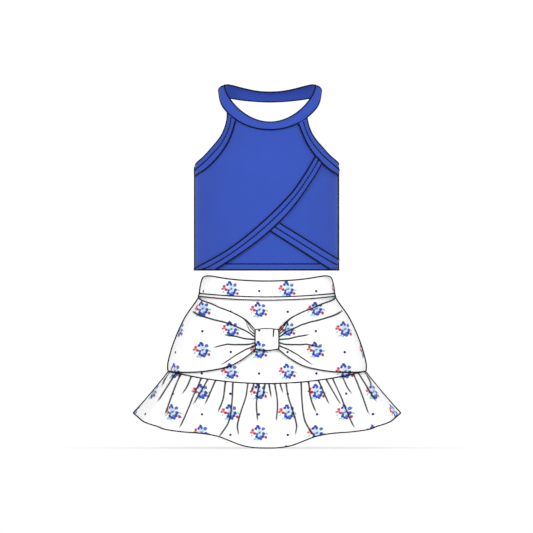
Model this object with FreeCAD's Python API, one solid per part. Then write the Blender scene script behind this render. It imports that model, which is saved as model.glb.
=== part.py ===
"""A girl's cheer uniform in its worn shape: a halter crop top above a ruffled skirt.

X runs to the right as the front is faced, Y to the back and Z up, in millimetres.
The front of both garments faces -Y. The origin is under the middle, level with the
lowest points of the ruffle's hem.

Both garments are sheets of fabric laid over two smooth forms, the torso and the hips.
A place on a form is a turn from its front centre and a height. Each sheet has its
own layer, so that sheets lie on one another without passing through.
"""
import FreeCAD
import Part
import math
import os

os.makedirs("parts", exist_ok=True)
Vector = FreeCAD.Vector

# Fabric
FABRIC = 0.8                # thickness of one sheet
LAYER = 1.3                 # step from one sheet to the next one out
WRAPS = 2 * LAYER + FABRIC  # how far the outer face of the wraps stands off the form
THREAD = 0.3                # how far a stitch line stands up
THREAD_WIDTH = 1.1
SEWN = 0.12                 # clearance of a stitch line over its fabric
BUTT = 0.6                  # gap where one sheet ends against another
BACK_EDGE = 89.0            # turn at which the top's back panel ends, beside the side seam

# Top
TOP_HALF_WIDTH = 115.1      # of the form under the fabric
TOP_HEM = 293.0
UNDERARM = 464.0
HEM_STITCH = 10.0           # height of the hem's stitch line above the hem
BACK_NECKLINE = 449.0       # height of the back panel at its centre
BINDING = 14.0              # width of the binding on the back neckline

# Collar, a ring that is low in front and high behind
COLLAR_SHIFT = 5.0          # to the right of the body's centre
COLLAR_HALF_WIDTH = 81.8    # at its lower edge
COLLAR_TOP_HALF_WIDTH = 73.5
COLLAR_DEPTH = 65.5
COLLAR_LOW_FRONT = 524.2
COLLAR_LOW_SIDE = 588.4
COLLAR_LOW_BACK = 570.1
COLLAR_HIGH_FRONT = 537.0
COLLAR_HIGH_SIDE = 597.5
COLLAR_HIGH_BACK = 586.0
COLLAR_STAND = 0.6          # how far the inner face of the collar stands off the form
COLLAR_GAP = 3.4            # from the front panel's top edge to the collar
STRAP_END = 84.0            # turn at which the neck strap's fold begins

# Skirt
WAIST_TOP_SIDE = 283.0
WAIST_TOP_FRONT = 274.0
WAIST_LOW_SIDE = 247.0
WAIST_LOW_FRONT = 241.0
WAIST_STITCH_GAP = 5.5      # between the two stitch lines of the waistband
WAIST_STITCH_EDGE = 1.0     # from the lower one to the waistband's edge
STITCH_END = 89.5           # turn at which they end, beside the side seams
ELASTIC_ABOVE_SEAM = 9.0
ELASTIC_BELOW_TOP = 2.0
SEAM_SIDE = 126.0           # height of the ruffle's seam
SEAM_FRONT = 106.0
KNOT_HALF_WIDTH = 19.0
KNOT_LOW = 160.0
KNOT_HIGH = 192.0
KNOT_THICKNESS = 12.0
BOW_THICKNESS = 8.0         # of the gathered wings beside the knot

# Ruffle
RUFFLE_HALF_WIDTH = 219.5
RUFFLE_HALF_DEPTH = 164.0
HEM_WAVE = 24.0             # rise of the hem from its front centre
HEM_SIDE_RISE = 32.0        # further rise towards the sides

FRONT = -1
BACK = 1
LEFT = -1
RIGHT = 1


def through(*knots):
    """A smooth curve through (place, value) knots, level beyond its two ends."""
    def slope(i):
        low = max(i - 1, 0)
        high = min(i + 1, len(knots) - 1)
        return (knots[high][1] - knots[low][1]) / (knots[high][0] - knots[low][0])

    def value(place):
        place = min(max(place, knots[0][0]), knots[-1][0])
        i = max(k for k in range(len(knots) - 1) if knots[k][0] <= place)
        step = knots[i + 1][0] - knots[i][0]
        t = (place - knots[i][0]) / step
        start = (1 + 2 * t) * (1 - t) ** 2
        return (start * knots[i][1] + (1 - start) * knots[i + 1][1]
                + t * (1 - t) ** 2 * step * slope(i)
                - t ** 2 * (1 - t) * step * slope(i + 1))
    return value


torso_width = through((293, TOP_HALF_WIDTH), (445, TOP_HALF_WIDTH), (464, TOP_HALF_WIDTH - 0.3),
                      (479, 109), (500, 98), (522, 88), (545, 83), (600, 82.5))
strap_rise = through((0, 0), (0.22, 0.07), (0.437, 0.31), (0.654, 0.655), (0.805, 0.92),
                     (0.934, 1.07), (1, 1))
torso_depth = {
    FRONT: through((293, 68), (350, 70), (410, 75), (450, 78), (485, 75), (525, 65.5), (600, 64)),
    BACK: through((293, 68), (380, 71), (464, 72), (600, 72)),
}
lean = through((470, 0), (480, 0), (507, 0.5 * COLLAR_SHIFT), (535, COLLAR_SHIFT),
               (545, COLLAR_SHIFT))
hip_width = through((106, 161), (126, 160.5), (140, 160), (173, 150.5), (213, 132.5),
                    (247, 109.7), (265, 106), (276, 103.2), (283, 98.5))
hip_depth = through((106, 117), (140, 114), (173, 106), (213, 92), (247, 78), (283, 70))


def torso(side):
    """The form under the top, as a function of turn in degrees and height.

    It leans a little to the right above the armholes, where it goes into the collar.
    """
    def place(turn, height):
        return Vector(lean(height) + torso_width(height) * math.sin(math.radians(turn)),
                      side * torso_depth[side](height) * math.cos(math.radians(turn)), height)
    return place


def hips(side):
    """The form under the skirt."""
    def place(turn, height):
        return Vector(hip_width(height) * math.sin(math.radians(turn)),
                      side * hip_depth(height) * math.cos(math.radians(turn)), height)
    return place


def seam_height(turn):
    """Height of the ruffle's seam."""
    return SEAM_FRONT + (SEAM_SIDE - SEAM_FRONT) * math.sin(math.radians(turn)) ** 2


def hem_height(turn):
    """Height of the ruffle's hem, level at the front centre and highest at the sides."""
    across = abs(math.sin(math.radians(turn)))
    return HEM_WAVE * (1 - math.exp(-(across / 0.32) ** 3)) + HEM_SIDE_RISE * across ** 6


def ruffle(side):
    """The flared tier, as a function of turn and of the way down it, 0 to 1."""
    def place(turn, down):
        top = seam_height(turn) - BUTT
        flare = 0.9 * down + 0.1 * down ** 2
        width = hip_width(top) + (RUFFLE_HALF_WIDTH - hip_width(top)) * flare
        depth = hip_depth(top) + (RUFFLE_HALF_DEPTH - hip_depth(top)) * flare
        return Vector(width * math.sin(math.radians(turn)),
                      side * depth * math.cos(math.radians(turn)),
                      top + (hem_height(turn) - top) * down)
    return place


def collar_low(side):
    """Height of the collar's lower edge."""
    def height(turn):
        across = abs(math.sin(math.radians(turn)))
        if side == FRONT:
            fuller = 0.055 * across ** 2 * abs(math.sin(math.radians(2 * turn)))
            rise = 1 - math.cos(math.radians(turn)) + fuller
            return COLLAR_LOW_FRONT + (COLLAR_LOW_SIDE - COLLAR_LOW_FRONT) * rise
        rise = 0.5 * across ** 1.8 + 0.5 * across ** 12
        return COLLAR_LOW_BACK + (COLLAR_LOW_SIDE - COLLAR_LOW_BACK) * rise
    return height


def collar_high(side):
    """Height of the collar's upper edge."""
    def height(turn):
        across = abs(math.sin(math.radians(turn)))
        if side == FRONT:
            rise = 0.6 * (1 - math.cos(math.radians(turn))) + 0.4 * across ** 2
            return COLLAR_HIGH_FRONT + (COLLAR_HIGH_SIDE - COLLAR_HIGH_FRONT) * rise
        return COLLAR_HIGH_BACK + (COLLAR_HIGH_SIDE - COLLAR_HIGH_BACK) * strap_rise(across)
    return height


def collar(side):
    """The collar's own surface, as a function of turn and of the way up it, 0 to 1."""
    def place(turn, up):
        low = collar_low(side)(turn)
        high = collar_high(side)(turn)
        roll = max(up, 0) ** 2.4
        width = COLLAR_HALF_WIDTH + (COLLAR_TOP_HALF_WIDTH - COLLAR_HALF_WIDTH) * roll
        depth = COLLAR_DEPTH - 4 * roll
        return Vector(COLLAR_SHIFT + width * math.sin(math.radians(turn)),
                      side * depth * math.cos(math.radians(turn)), low + (high - low) * up)
    return place


def outward(form, turn, other):
    """Unit normal of a form, away from the wearer."""
    small = 0.02
    along = form(turn + small, other) - form(turn - small, other)
    up = form(turn, other + small) - form(turn, other - small)
    normal = along.cross(up)
    normal.normalize()
    here = form(turn, other)
    if normal.x * here.x + normal.y * here.y < 0:
        normal = normal * -1
    return normal


def lifted(form, spot, offset):
    """The point that stands a given offset off a form."""
    return form(*spot) + outward(form, *spot) * offset


def closed(faces):
    """A solid from faces that meet along their edges."""
    shell = Part.makeShell(faces)
    shell.sewShape()
    solid = Part.makeSolid(shell if shell.ShapeType == "Shell" else shell.Shells[0])
    if solid.Volume < 0:
        solid.reverse()
    return solid


def grid_surface(rows):
    """A smooth surface through a grid of points."""
    surface = Part.BSplineSurface()
    surface.interpolate(rows)
    return surface


def borders(surface):
    """The four edges of a surface: first row, last row, first column, last column."""
    u0, u1, v0, v1 = surface.bounds()
    return [surface.uIso(u0).toShape(), surface.uIso(u1).toShape(),
            surface.vIso(v0).toShape(), surface.vIso(v1).toShape()]


def sheet(form, where, inner, outer, rows=9, columns=25):
    """A sheet of fabric on a form.

    where gives the spot on the form for (across, up) from 0 to 1. inner and outer are
    the offsets of its two faces, as numbers or as functions of (across, up).
    """
    def grid(offset):
        return [[lifted(form, where(i / (columns - 1), j / (rows - 1)),
                        offset(i / (columns - 1), j / (rows - 1)) if callable(offset) else offset)
                 for i in range(columns)] for j in range(rows)]

    near = grid_surface(grid(inner))
    far = grid_surface(grid(outer))
    sides = [Part.makeRuledSurface(a, b) for a, b in zip(borders(near), borders(far))]
    return closed([near.toShape(), far.toShape()] + sides)


def layer(number):
    """The inner and outer offset of a sheet in a numbered layer."""
    return number * LAYER, number * LAYER + FABRIC


def stitch_line(form, path, offset, count=41):
    """A row of thread along a path on a form, path being a function from 0 to 1."""
    corners = [[], [], [], []]
    for i in range(count):
        t = i / (count - 1)
        spot = path(t)
        ahead = form(*path(min(t + 0.01, 1))) - form(*path(max(t - 0.01, 0)))
        normal = outward(form, *spot)
        across = normal.cross(ahead)
        across.normalize()
        for corner, (sideways, up) in enumerate([(-1, 0), (1, 0), (1, 1), (-1, 1)]):
            lift = (offset(t) if callable(offset) else offset) + SEWN + THREAD * up
            corners[corner].append(form(*spot) + normal * lift
                                   + across * (sideways * THREAD_WIDTH / 2))
    edges = []
    for points in corners:
        curve = Part.BSplineCurve()
        curve.interpolate(points)
        edges.append(curve.toShape())
    faces = [Part.makeRuledSurface(edges[i], edges[(i + 1) % 4]) for i in range(4)]
    for end in (0, -1):
        line = [Part.makeLine(corners[i][end], corners[i + 1][end]) for i in (0, 2)]
        faces.append(Part.makeRuledSurface(line[0], line[1]))
    return closed(faces)


def outline(*points):
    """A smooth line through (x, z) points, as a function from 0 to 1."""
    curve = Part.BSplineCurve()
    curve.interpolate([Vector(x, 0, z) for x, z in points])

    def at(t):
        first, last = curve.FirstParameter, curve.LastParameter
        return curve.value(first + (last - first) * t)
    return at


def spot_on(width, x, z):
    """Turn and height on a form of a place as seen from the front."""
    return math.degrees(math.asin(max(-1.0, min(1.0, (x - lean(z)) / width(z))))), z


def line_on(width, *points):
    """An outline as seen from the front, turned into spots on a form."""
    path = outline(*points)

    def at(t):
        point = path(t)
        return spot_on(width, point.x, point.z)
    return at


def mixed(a, b, t):
    """The place a part t of the way from a to b."""
    return tuple(p + (q - p) * t for p, q in zip(a, b))


def between(low, high):
    """Spots between two lines, low and high."""
    def at(across, up):
        return mixed(low(across), high(across), up)
    return at


def four_sided(low, high, left, right):
    """Spots inside four lines that meet at their ends."""
    def at(across, up):
        rows = mixed(low(across), high(across), up)
        columns = mixed(left(up), right(up), across)
        corners = mixed(mixed(low(0), low(1), across), mixed(high(0), high(1), across), up)
        return tuple(r + c - k for r, c, k in zip(rows, columns, corners))
    return at


armhole_edge = through((446, 118.5), (464, 117.8), (478, 103.5), (490, 92.5), (509, 77),
                       (524, 69.5), (540, 65.2), (556, 64.4))


def wrapped_width(height):
    """Half-width over the wraps."""
    return torso_width(height) + WRAPS


def side_turn(hand, height):
    """Turn at which the front panel ends: the side seam, then the armhole."""
    return spot_on(wrapped_width, hand * armhole_edge(height), height)[0]


def collar_foot(x):
    """Height at which the front panel ends under the collar."""
    turn = math.degrees(math.asin((x - COLLAR_SHIFT) / COLLAR_HALF_WIDTH))
    return collar_low(FRONT)(turn) - COLLAR_GAP


def corner_height(hand):
    """Height at which an armhole's edge meets the collar."""
    height = COLLAR_LOW_FRONT
    for _ in range(30):
        height = collar_foot(hand * armhole_edge(height))
    return height


CORNER = {LEFT: corner_height(LEFT), RIGHT: corner_height(RIGHT)}


def panel_side(hand, low=TOP_HEM):
    """The side seam and armhole of the front, from a height up to the collar."""
    def at(t):
        away = abs(t / 0.5 - 1)
        spaced = 0.6 * away + 0.4 * away ** 2
        height = UNDERARM + ((CORNER[hand] if t > 0.5 else low) - UNDERARM) * spaced
        return side_turn(hand, height), height
    return at


def under_collar(across):
    """The front panel's top edge, along the collar."""
    left = -armhole_edge(CORNER[LEFT])
    x = left + (armhole_edge(CORNER[RIGHT]) - left) * across
    return spot_on(wrapped_width, x, collar_foot(x))


def level(height, start=-90.0, end=90.0):
    """A level line round a form."""
    def at(t):
        return start + (end - start) * t, height
    return at


def base_panel():
    """The lining that carries the wrap, seen as a triangle above the hem."""
    where = four_sided(level(TOP_HEM), under_collar, panel_side(LEFT), panel_side(RIGHT))
    return sheet(torso(FRONT), where, *layer(0), rows=25)


def under_wrap_panel():
    """The wrap that comes from the wearer's left and goes under the other one."""
    foot = 0.8                      # how far along its lower edge the wrap meets the hem
    slanted = line_on(torso_width, (-4, 364.6), (49, 330), (101, 296))
    corner = panel_side(RIGHT, TOP_HEM + 1)
    hidden_top = (10.0, 500.0)

    def low(t):
        if t < foot:
            return slanted(t / foot)
        return mixed(slanted(1), corner(0), (t - foot) / (1 - foot))

    def high(t):
        return mixed(hidden_top, corner(0.9), t)

    def left(t):
        return mixed(low(0), hidden_top, t)

    return sheet(torso(FRONT), four_sided(low, high, left, lambda t: corner(0.9 * t)),
                 *layer(1), rows=33, columns=33)


def wrap_low(t):
    """Lower edge of the upper wrap, from the hem to the right armhole."""
    return line_on(torso_width, (-82.5, 294), (-44.6, 319.3), (-5, 349.5), (38, 392.7),
                   (71, 439.7), (95, 481))(t)


def wrap_high(t):
    """Upper edge of the band on the upper wrap."""
    return line_on(torso_width, (-115.1, 295.4), (-61, 327.5), (-11.6, 368), (38, 418.3),
                   (62, 453), (85, 492))(t)


def over_wrap_panel():
    """The wrap that crosses on top, down to the left of the hem."""
    left = panel_side(LEFT, TOP_HEM + 1)

    def low(t):
        blend = min(1.0, t / 0.2)
        return mixed(left(0), wrap_low(t), blend * blend * (3 - 2 * blend))

    def right(t):
        foot = low(1)[1]
        height = foot + (CORNER[RIGHT] - foot) * t
        return side_turn(RIGHT, height), height

    return sheet(torso(FRONT), four_sided(low, under_collar, left, right),
                 *layer(2), rows=33, columns=41)


def over_wrap_band():
    return sheet(torso(FRONT), between(wrap_low, wrap_high), *layer(3), rows=4, columns=31)


def under_wrap_band():
    low = line_on(torso_width, (8, 356), (102.3, 294))
    high = line_on(torso_width, (23.7, 368.4), (115.1, 310))
    return sheet(torso(FRONT), between(low, high), *layer(2), rows=4, columns=25)


def armhole_outer(hand):
    """The armhole's own edge, from the underarm to the collar."""
    def at(t):
        height = UNDERARM + (CORNER[hand] - UNDERARM) * t ** 1.6
        return side_turn(hand, height), height
    return at


def armhole_inner(hand, share=1.0):
    """A line beside the armhole, as far in as the binding is wide, or a share of that."""
    end = 50.0
    inner = through((0, 118.5), (0.2, 97), (0.4, 79), (0.6, 67), (0.8, 58.5), (1, end))
    rise = through((0, 448), (0.2, 462), (0.4, 480), (0.6, 497), (0.8, 515),
                   (1, collar_foot(hand * end)))

    def at(t):
        edge = armhole_outer(hand)(t)
        inside = spot_on(wrapped_width, hand * inner(t ** 1.6), rise(t ** 1.6))
        return mixed(edge, inside, share)
    return at


def binding_layer(hand):
    """The layer of an armhole's binding: over both wraps on the right, once past the seam."""
    def number(along):
        if hand == LEFT:
            return 3
        climb = min(1.0, along / 0.15)
        return 2 + 2 * climb * climb * (3 - 2 * climb)
    return number


def armhole_binding(hand):
    number = binding_layer(hand)
    return sheet(torso(FRONT), between(armhole_outer(hand), armhole_inner(hand)),
                 lambda along, across: layer(number(along))[0],
                 lambda along, across: layer(number(along))[1], rows=4, columns=25)


def back_neckline(t):
    """Top edge of the back panel, from one underarm to the other."""
    turn = BACK_EDGE * (2 * t - 1)
    return turn, BACK_NECKLINE + (UNDERARM - BACK_NECKLINE) * math.sin(math.radians(turn)) ** 2


def back_panel():
    low = level(TOP_HEM, -BACK_EDGE, BACK_EDGE)
    return sheet(torso(BACK), between(low, back_neckline), *layer(0), rows=13)


def back_binding():
    def low(t):
        turn, height = back_neckline(t)
        return turn, height - BINDING
    return sheet(torso(BACK), between(low, back_neckline), *layer(1), rows=4)


def collar_front():
    return sheet(collar(FRONT), lambda across, up: (-90 + 180 * across, up),
                 COLLAR_STAND, COLLAR_STAND + 2 * FABRIC, rows=6)


def neck_strap():
    """The strap behind the neck, narrowed at the two places where it folds."""
    def where(across, up):
        narrowing = 0.5 * abs(2 * across - 1) ** 12
        return STRAP_END * (2 * across - 1), 0.5 + (up - 0.5) * (1 - narrowing)
    return sheet(collar(BACK), where, COLLAR_STAND, COLLAR_STAND + 2 * FABRIC, rows=6)


def waist_top(turn):
    return WAIST_TOP_FRONT + (WAIST_TOP_SIDE - WAIST_TOP_FRONT) * math.sin(math.radians(turn)) ** 2


def waist_low(turn):
    return WAIST_LOW_FRONT + (WAIST_LOW_SIDE - WAIST_LOW_FRONT) * math.sin(math.radians(turn)) ** 2


def round_skirt(low, high):
    """Spots between two heights that depend on the turn."""
    def at(across, up):
        turn = -90 + 180 * across
        return turn, low(turn) + (high(turn) - low(turn)) * up
    return at


def waistband(side):
    return sheet(hips(side), round_skirt(waist_low, waist_top), *layer(2), rows=7)


def waist_facing(side):
    return sheet(hips(side), round_skirt(waist_low, waist_top), *layer(0), rows=7)


def waist_elastic(side):
    return sheet(hips(side), round_skirt(lambda turn: waist_low(turn) + ELASTIC_ABOVE_SEAM,
                                         lambda turn: waist_top(turn) - ELASTIC_BELOW_TOP),
                 *layer(1), rows=7)


def waist_stitches(side, above):
    def path(t):
        turn = STITCH_END * (2 * t - 1)
        return turn, waist_low(turn) + above
    return stitch_line(hips(side), path, layer(2)[1])


def yoke(side):
    """The plain skirt panel between the waistband and the ruffle."""
    return sheet(hips(side), round_skirt(seam_height, lambda turn: waist_low(turn) - BUTT),
                 *layer(0), rows=13)


def bow_wing(hand):
    """A wing of the bow: sewn into the side seam and gathered into the knot."""
    edge = KNOT_HALF_WIDTH + BUTT
    high = line_on(hip_width, (edge, 191), (32, 206), (59, 222), (92, 236), (109.7, 246))
    low = line_on(hip_width, (edge, 161.5), (43, 143), (90, 128), (129, 124.8), (160.5, 126.8))

    def where(across, up):
        turn, height = mixed(low(across), high(across), up)
        seam_turn = mixed(low(1), high(1), up)[0]
        return hand * (turn + (90 - seam_turn) * across ** 4), height

    def outer(across, up):
        gather = (1 - across) ** 2
        return LAYER + FABRIC + (BOW_THICKNESS - FABRIC) * gather * (1 - 0.5 * (2 * up - 1) ** 2)
    return sheet(hips(FRONT), where, LAYER, outer, rows=13)


def bow_knot():
    """The band round the middle of the bow, rounded over its front."""
    def where(across, up):
        return spot_on(hip_width, KNOT_HALF_WIDTH * (2 * across - 1),
                       KNOT_LOW + (KNOT_HIGH - KNOT_LOW) * up)

    def outer(across, up):
        return LAYER + KNOT_THICKNESS * (1 - 0.35 * (2 * up - 1) ** 4 - 0.15 * (2 * across - 1) ** 4)
    return sheet(hips(FRONT), where, LAYER, outer, rows=9, columns=9)


def ruffle_tier(side):
    return sheet(ruffle(side), lambda across, down: (-90 + 180 * across, down),
                 *layer(0), rows=7)


def top_hem_stitches():
    path = line_on(torso_width, (-69, TOP_HEM + HEM_STITCH), (6, TOP_HEM + HEM_STITCH),
                   (86, TOP_HEM + HEM_STITCH))
    return stitch_line(torso(FRONT), path, layer(0)[1])


def over_wrap_stitches():
    return stitch_line(torso(FRONT), lambda t: between(wrap_low, wrap_high)(0.03 + 0.85 * t, 0.5),
                       layer(3)[1])


def under_wrap_stitches():
    path = line_on(torso_width, (14, 363.4), (64, 331.4), (114, 299.4))
    return stitch_line(torso(FRONT), path, layer(2)[1])


def armhole_stitches(hand):
    line = armhole_inner(hand, 0.5)
    number = binding_layer(hand)
    return stitch_line(torso(FRONT), lambda t: line(0.02 + 0.95 * t),
                       lambda t: layer(number(0.02 + 0.95 * t))[1])


def hand_name(hand):
    return "left" if hand == LEFT else "right"


def side_name(side):
    return "front" if side == FRONT else "back"


def uniform():
    """Every piece by name."""
    pieces = {
        "top_front_lining": base_panel(),
        "top_under_wrap_panel": under_wrap_panel(),
        "top_under_wrap_band": under_wrap_band(),
        "top_under_wrap_stitches": under_wrap_stitches(),
        "top_over_wrap_panel": over_wrap_panel(),
        "top_over_wrap_band": over_wrap_band(),
        "top_over_wrap_stitches": over_wrap_stitches(),
        "top_hem_stitches": top_hem_stitches(),
        "top_back_panel": back_panel(),
        "top_back_neckline_binding": back_binding(),
        "top_collar_front": collar_front(),
        "top_neck_strap": neck_strap(),
        "skirt_bow_knot": bow_knot(),
    }
    for hand in (LEFT, RIGHT):
        pieces["top_armhole_binding_" + hand_name(hand)] = armhole_binding(hand)
        pieces["top_armhole_stitches_" + hand_name(hand)] = armhole_stitches(hand)
        pieces["skirt_bow_wing_" + hand_name(hand)] = bow_wing(hand)
    for side in (FRONT, BACK):
        pieces["skirt_waistband_" + side_name(side)] = waistband(side)
        pieces["skirt_waist_facing_" + side_name(side)] = waist_facing(side)
        pieces["skirt_waist_elastic_" + side_name(side)] = waist_elastic(side)
        pieces["skirt_waist_stitches_upper_" + side_name(side)] = waist_stitches(
            side, WAIST_STITCH_EDGE + WAIST_STITCH_GAP)
        pieces["skirt_waist_stitches_lower_" + side_name(side)] = waist_stitches(
            side, WAIST_STITCH_EDGE)
        pieces["skirt_yoke_" + side_name(side)] = yoke(side)
        pieces["skirt_ruffle_" + side_name(side)] = ruffle_tier(side)
    return pieces


for name, piece in uniform().items():
    print(name, piece.ShapeType, piece.isValid(), piece.isClosed(), round(piece.Volume))
    piece.exportStep("parts/" + name + ".step")
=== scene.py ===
"""Looks of the cheer uniform: fabric, print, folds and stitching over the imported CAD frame.

Shapes are worked out in millimetres on the same two forms as the CAD part, the torso and
the hips, and turned into metres as each mesh is made. A place on a form is a turn from its
front or back centre, in degrees, and a height.
"""
import math
import bpy
import mathutils
import numpy as np
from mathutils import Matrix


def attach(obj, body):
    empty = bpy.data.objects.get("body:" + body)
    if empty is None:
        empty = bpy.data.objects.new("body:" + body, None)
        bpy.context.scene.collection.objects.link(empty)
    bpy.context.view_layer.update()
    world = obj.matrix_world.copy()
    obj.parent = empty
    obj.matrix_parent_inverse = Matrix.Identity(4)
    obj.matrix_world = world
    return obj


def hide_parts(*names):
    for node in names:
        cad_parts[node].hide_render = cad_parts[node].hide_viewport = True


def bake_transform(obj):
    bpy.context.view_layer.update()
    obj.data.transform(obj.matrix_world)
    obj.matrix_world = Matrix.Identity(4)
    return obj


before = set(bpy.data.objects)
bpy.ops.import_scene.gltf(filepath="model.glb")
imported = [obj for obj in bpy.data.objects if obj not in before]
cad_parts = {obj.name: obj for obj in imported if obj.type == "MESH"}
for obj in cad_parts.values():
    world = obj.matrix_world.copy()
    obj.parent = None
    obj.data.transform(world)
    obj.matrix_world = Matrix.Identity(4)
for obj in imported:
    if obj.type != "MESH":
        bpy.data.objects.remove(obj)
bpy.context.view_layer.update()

MM = 0.001
FRONT = -1
BACK = 1
LEFT = -1
RIGHT = 1
SIDES = {FRONT: "front", BACK: "back"}
HANDS = {LEFT: "left", RIGHT: "right"}

# Fabric, in mm
LAYER = 1.3  # step from one sheet to the next one out
CLOTH = 0.9  # thickness of a drawn sheet
TAPE = 1.3  # thickness of a folded tape
CORD = 1.1  # radius of the dark thread along an edge
STITCH = 1.1  # radius of a stitch's thread
SUNK = 1.15  # height of an edge thread's middle over the cloth's inner face
SIDE = 88.5  # turn of the threads along the side seams
PROUD = 0.6  # how much higher those lie, on top of the seam
UNDERLAP = 1.018  # the back runs on under the front by this share of its turn
RIM_ROUND = 0.3  # how far a cut edge rounds out, in thicknesses
EASED_TO = 58  # turn up to which cloth is eased over the body
EASED_OVER = 24  # and the turn it takes to lie at its full length
STITCH_PITCH = 4.4
STITCH_LENGTH = 3.3
STITCH_DIP = (-0.75, -0.2, 0.05, 0.05, -0.2, -0.75)  # height along a stitch, in radii
STITCH_TAPER = (0.55, 0.95, 1, 1, 0.95, 0.55)  # and its thickness

# Top
TOP_HALF_WIDTH = 115.1
TOP_HEM = 293.0
UNDERARM = 464.0
HEM_STITCH = 10.0
BACK_NECKLINE = 449.0
BINDING = 14.0
WRAPS = 3.4
TUCK = 2.0  # how far the front panel runs up behind the collar
CLIMB = 0.15  # share of an armhole in which its binding climbs over the wraps
WRAP_EASE = 0.3  # share of the jersey's slack in the wraps
BACK_EASE = 0.6  # and in the back

# Collar
COLLAR_STAND = 2.4
COLLAR_OVERLAP = 2.9  # how much further its lower front edge stands off
COLLAR_SHIFT = 5.0
COLLAR_HALF_WIDTH = 81.8
COLLAR_TOP_HALF_WIDTH = 74.4
COLLAR_DEPTH = 65.5
COLLAR_LOW = {FRONT: 524.2, BACK: 571.0}
COLLAR_LOW_SIDE = 588.4
COLLAR_HIGH = {FRONT: 534.4, BACK: 585.2}
COLLAR_HIGH_SIDE = 596.0

# Skirt
WAIST_TOP_SIDE = 283.0
WAIST_TOP_FRONT = 274.0
WAIST_LOW_SIDE = 247.0
WAIST_LOW_FRONT = 241.0
WAIST_STITCH_GAP = 5.5
SEAM_SIDE = 126.0
SEAM_FRONT = 106.0
KNOT_HALF_WIDTH = 18.4
RUFFLE_HALF_WIDTH = 219.5
RUFFLE_HALF_DEPTH = 164.0
HEM_WAVE = 24.0
HEM_SIDE_RISE = 32.0
FOLD_SHADE_STRENGTH = 1.7  # strength of the painted shade: a dark line in the bottom of a fold
SMALL_GATHERS = 110
SIDE_CALM = 10  # turn beside a side seam in which the folds die down

WHITE = (1, 1, 1, 1)
CAMERA_DISTANCE = 40.0
SEEN_WIDTH = 0.8795  # width of the view at the object, in metres
GAP_HEIGHT = 290.0  # between the skirt and the top, in mm

random = np.random.default_rng(11)


# ---- curves and forms

def through(*knots):
    """A smooth curve through (place, value) knots, level beyond its two ends."""
    places = np.array([k[0] for k in knots], float)
    values = np.array([k[1] for k in knots], float)
    last = len(knots) - 1
    slopes = np.array([(values[min(i + 1, last)] - values[max(i - 1, 0)])
                       / (places[min(i + 1, last)] - places[max(i - 1, 0)])
                       for i in range(last + 1)])

    def value(place):
        place = np.clip(place, places[0], places[-1])
        i = np.clip(np.searchsorted(places, place, side="right") - 1, 0, last - 1)
        step = places[i + 1] - places[i]
        t = (place - places[i]) / step
        start = (1 + 2 * t) * (1 - t) ** 2
        return (start * values[i] + (1 - start) * values[i + 1]
                + t * (1 - t) ** 2 * step * slopes[i] - t ** 2 * (1 - t) * step * slopes[i + 1])
    return value


def sine(turn):
    return np.sin(np.radians(turn))


def cosine(turn):
    return np.cos(np.radians(turn))


def over(layers, above=CLOTH):
    """How far a sheet's outer face stands off when it lies over some layers."""
    return layers * LAYER + above


def smooth(x):
    """A smooth step from 0 to 1, level outside them."""
    x = np.clip(x, 0, 1)
    return x * x * (3 - 2 * x)


def past(x):
    """A step from 0 to 1 at 0 that is never quite level."""
    return 1 / (1 + np.exp(-x))


def bell(x):
    return np.exp(-x ** 2)


def unit(vectors):
    return vectors / np.maximum(np.linalg.norm(vectors, axis=-1, keepdims=True), 1e-9)


def summed(steps):
    return np.concatenate([[0], np.cumsum(steps)])


def run_along(points):
    """Distance along a line of points, at each of them."""
    return summed(np.linalg.norm(np.diff(points, axis=0), axis=-1))


torso_width = through((293, TOP_HALF_WIDTH), (445, TOP_HALF_WIDTH), (464, TOP_HALF_WIDTH - 0.3),
                      (479, 109), (500, 98), (522, 88), (545, 83), (600, 82.5))
strap_rise = through((0, 0), (0.22, 0.07), (0.437, 0.31), (0.654, 0.655), (0.805, 0.92),
                     (0.934, 1.07), (1, 1))
torso_depth = {
    FRONT: through((293, 68), (350, 70), (410, 75), (450, 78), (485, 75), (525, 65.5), (600, 64)),
    BACK: through((293, 68), (380, 71), (464, 72), (600, 72)),
}
lean = through((470, 0), (480, 0), (507, 0.5 * COLLAR_SHIFT), (535, COLLAR_SHIFT),
               (545, COLLAR_SHIFT))
hip_width = through((106, 161), (126, 160.5), (140, 160), (173, 150.5), (213, 132.5),
                    (247, 109.7), (265, 106), (276, 103.2), (283, 98.5))
hip_depth = through((106, 117), (140, 114), (173, 106), (213, 92), (247, 78), (283, 70))


def oval(width, depth, side, turn, height, centre=0.0):
    return np.stack(np.broadcast_arrays(centre + width * sine(turn), side * depth * cosine(turn),
                                        height), -1)


def torso(side):
    return lambda turn, height: oval(torso_width(height), torso_depth[side](height),
                                     side, turn, height, lean(height))


def hips(side):
    return lambda turn, height: oval(hip_width(height), hip_depth(height), side, turn, height)


def seam_height(turn):
    return SEAM_FRONT + (SEAM_SIDE - SEAM_FRONT) * sine(turn) ** 2


def hem_height(turn):
    across = np.abs(sine(turn))
    return HEM_WAVE * (1 - np.exp(-(across / 0.32) ** 3)) + HEM_SIDE_RISE * across ** 6


def ruffle_size(turn, down):
    """Half-width and half-depth of the flared tier, some way down it."""
    top = seam_height(turn)
    flare = 0.9 * down + 0.1 * down ** 2
    return (hip_width(top) + (RUFFLE_HALF_WIDTH - hip_width(top)) * flare,
            hip_depth(top) + (RUFFLE_HALF_DEPTH - hip_depth(top)) * flare)


def ruffle(side):
    def place(turn, down):
        width, depth = ruffle_size(turn, down)
        top = seam_height(turn) - 0.2
        return oval(width, depth, side, turn, top + (hem_height(turn) - top) * down)
    return place


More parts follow.
